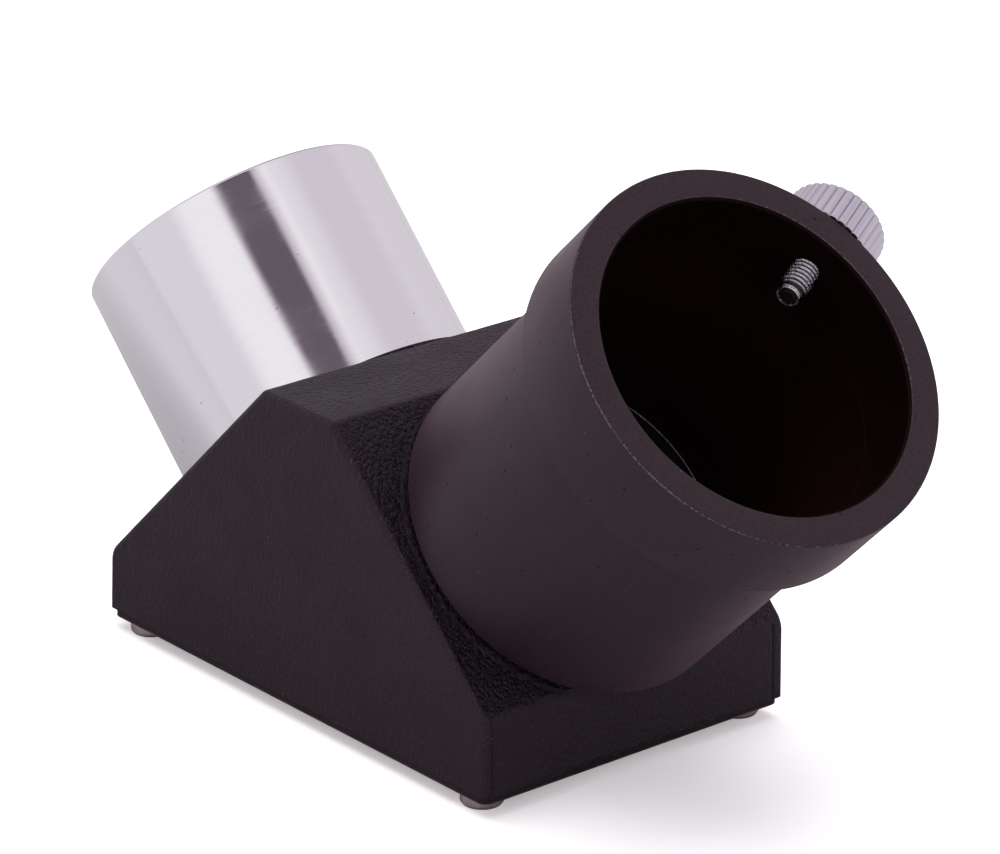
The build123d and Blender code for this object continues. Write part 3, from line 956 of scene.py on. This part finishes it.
def make_base_screw(number, turn, material):
    """Pan-head screw with a cross recess, its head below the plate."""
    node = f"base_screw_{number}"
    low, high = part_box(node)
    centre = (low + high) / 2
    root = SHANK_RADIUS - SHANK_TOOTH
    rows = rounded(
        [
            (0, 0),
            (HEAD_RADIUS - 0.2, 0.02, 0.12),
            (HEAD_RADIUS, 0.28, 0.15),
            (HEAD_RADIUS, HEAD_HEIGHT, 0.08),
            (SHANK_RADIUS, HEAD_HEIGHT),
        ]
    )
    end = SHANK_LENGTH + HEAD_HEIGHT
    rows += thread_rows(root, HEAD_HEIGHT + 0.6, end - 0.5, SHANK_PITCH)
    rows += [(0.5 * SHANK_RADIUS, end, 0.0), (0, end, 0.0)]
    settings = {"closed": False, "pitch": SHANK_PITCH, "tooth_height": SHANK_TOOTH}
    piece = revolve(f"base_screw_head_{number}", rows, SMALL_SEGMENTS, **settings)
    for angle in (0, 90):
        cut(piece, box_cutter(RECESS_LENGTH, RECESS_WIDTH, -0.2, RECESS_DEPTH, angle, 0.55))
    smooth(piece, 40)
    place = Matrix.Translation((centre.x, centre.y, low.z)) @ Matrix.Rotation(math.radians(turn), 4, "Z")
    place = place @ Matrix.Scale(MM, 4)
    return finish_piece(piece, place, node, "diagonal", "zinc_steel", material)


def build_pieces():
    """Every visible piece."""
    plastic = leather_plastic()
    paint = satin_black()
    bore = bore_black()
    rings = dark_anodised()
    # The stop ring's edges are painted nearly white: a painted highlight.
    edge_wear_and_highlight = dark_anodised("highlight_edged_ring", 0.004, 0.03, (0.9, 0.84, 0.88))
    plated = chrome()
    screws = zinc_steel()
    make_housing(plastic)
    make_nosepiece(bright_aluminium(), bore)
    make_tube(paint, bore)
    make_stop_ring(edge_wear_and_highlight)
    make_ring_nut("nosepiece_nut", "nosepiece_ring_nut", NOSEPIECE_FRAME, rings)
    make_ring_nut("eyepiece_tube_nut", "eyepiece_tube_ring_nut", EYEPIECE_FRAME, rings)
    make_stud(chrome("plated_thread", 0.3, 3.0, 0.05))
    make_tip(nylon())
    make_knob(plated)
    for number, turn in enumerate(SCREW_TURNS, start=1):
        make_base_screw(number, turn, screws)
    dress("base_plate", plate_paint(), 0.12)
    dress("mirror", mirror_coating(), 0.1)
    dress("mirror_pad", pad_adhesive())


# ---------------------------------------------------------------- studio


def make_table():
    """Large pale floor under the screw heads."""
    bm = bmesh.new()
    bmesh.ops.create_grid(bm, x_segments=2, y_segments=2, size=TABLE_SIZE)
    table = from_bmesh("table", bm)
    table.location.z = CAD_BOX[0].z
    table.data.materials.append(table_paper())


def direction(azimuth, elevation):
    """Unit vector towards a compass bearing from +X and a height above the horizon, in degrees."""
    a, e = math.radians(azimuth), math.radians(elevation)
    return (math.cos(a) * math.cos(e), math.sin(a) * math.cos(e), math.sin(e))


def make_world():
    """White surround with two soft light banks and the dark gap between them, high in front of the object."""
    world = bpy.data.worlds.new("studio")
    bpy.context.scene.world = world
    world.use_nodes = True
    tree = world.node_tree
    background = tree.nodes["Background"]
    place = tree.nodes.new("ShaderNodeTexCoord").outputs["Generated"]

    def facing(azimuth, elevation, outer, inner, height):
        """Patch of light of a given height that fades from inner to outer degrees from its middle."""
        dot = tree.nodes.new("ShaderNodeVectorMath")
        dot.operation = "DOT_PRODUCT"
        tree.links.new(place, dot.inputs[0])
        dot.inputs[1].default_value = direction(azimuth, elevation)
        patch = tree.nodes.new("ShaderNodeMapRange")
        patch.interpolation_type = "SMOOTHSTEP"
        tree.links.new(dot.outputs["Value"], patch.inputs[0])
        patch.inputs[1].default_value = math.cos(math.radians(outer))
        patch.inputs[2].default_value = math.cos(math.radians(inner))
        patch.inputs[4].default_value = height
        return patch.outputs[0]

    total = None
    patches = (
        (140, 12, 70, 15, -0.05),
        (139, 26, 28, 6, -0.24),
        (62, 46, 32, 8, -0.08),
        (-74, 38, 24, 6, 0.18),
        (6, 62, 26, 8, 0.07),
        (-4, 61, 10, 3, 0.07),
        (-41, 56, 17, 11, -0.42),
        (-34, 57, 20, 8, -0.36),
    )
    for patch in patches:
        height = facing(*patch)
        added = tree.nodes.new("ShaderNodeMath")
        added.operation = "ADD"
        tree.links.new(height, added.inputs[0])
        if total is None:
            added.inputs[1].default_value = WORLD_LIGHT
        else:
            tree.links.new(total, added.inputs[1])
        total = added.outputs[0]
    lowest = tree.nodes.new("ShaderNodeMath")
    lowest.operation = "MAXIMUM"
    tree.links.new(total, lowest.inputs[0])
    lowest.inputs[1].default_value = DARKEST_WORLD
    seen = tree.nodes.new("ShaderNodeMath")
    seen.operation = "MAXIMUM"
    tree.links.new(lowest.outputs[0], seen.inputs[0])
    path = tree.nodes.new("ShaderNodeLightPath")
    tree.links.new(path.outputs["Is Camera Ray"], seen.inputs[1])
    tree.links.new(seen.outputs[0], background.inputs["Strength"])
    tint = tree.nodes.new("ShaderNodeMix")
    tint.data_type = "RGBA"
    tree.links.new(seen.outputs[0], tint.inputs[0])
    tint.inputs[6].default_value = (1.03, 0.82, 1.05, 1)
    tint.inputs[7].default_value = (1.0, 1.0, 1.0, 1)
    tree.links.new(tint.outputs[2], background.inputs["Color"])


def make_lamp():
    """Wide overhead lamp that brightens the table without showing in the metal."""
    light = bpy.data.lights.new("overhead", "AREA")
    light.shape = "SQUARE"
    light.size = LAMP_SIZE
    light.energy = LAMP_POWER
    lamp = bpy.data.objects.new("overhead", light)
    lamp.location = (0, 0, LAMP_HEIGHT)
    lamp.visible_glossy = False
    bpy.context.scene.collection.objects.link(lamp)


def make_camera():
    """Long lens at the viewing angle, looking at the middle of the object."""
    a, e, r = (math.radians(x) for x in (AZIMUTH, ELEVATION, ROLL))
    back = Vector((math.sin(a) * math.cos(e), -math.cos(a) * math.cos(e), math.sin(e)))
    level = Vector((math.cos(a), math.sin(a), 0))
    upright = back.cross(level)
    right = level * math.cos(r) + upright * math.sin(r)
    up = upright * math.cos(r) - level * math.sin(r)
    middle = (CAD_BOX[0] + CAD_BOX[1]) / 2
    data = bpy.data.cameras.new("camera")
    data.sensor_width = SENSOR_WIDTH
    data.lens = FOCAL_LENGTH
    data.clip_start = CLIP_START
    camera = bpy.data.objects.new("camera", data)
    place = middle + back * DISTANCE + right * SIDE_STEP + up * RISE
    camera.matrix_world = Matrix.Translation(place) @ Matrix((right, up, back)).transposed().to_4x4()
    bpy.context.scene.collection.objects.link(camera)
    bpy.context.scene.camera = camera


make_camera()
build_pieces()
make_table()
make_world()
make_lamp()
bpy.context.scene.view_settings.view_transform = "Standard"
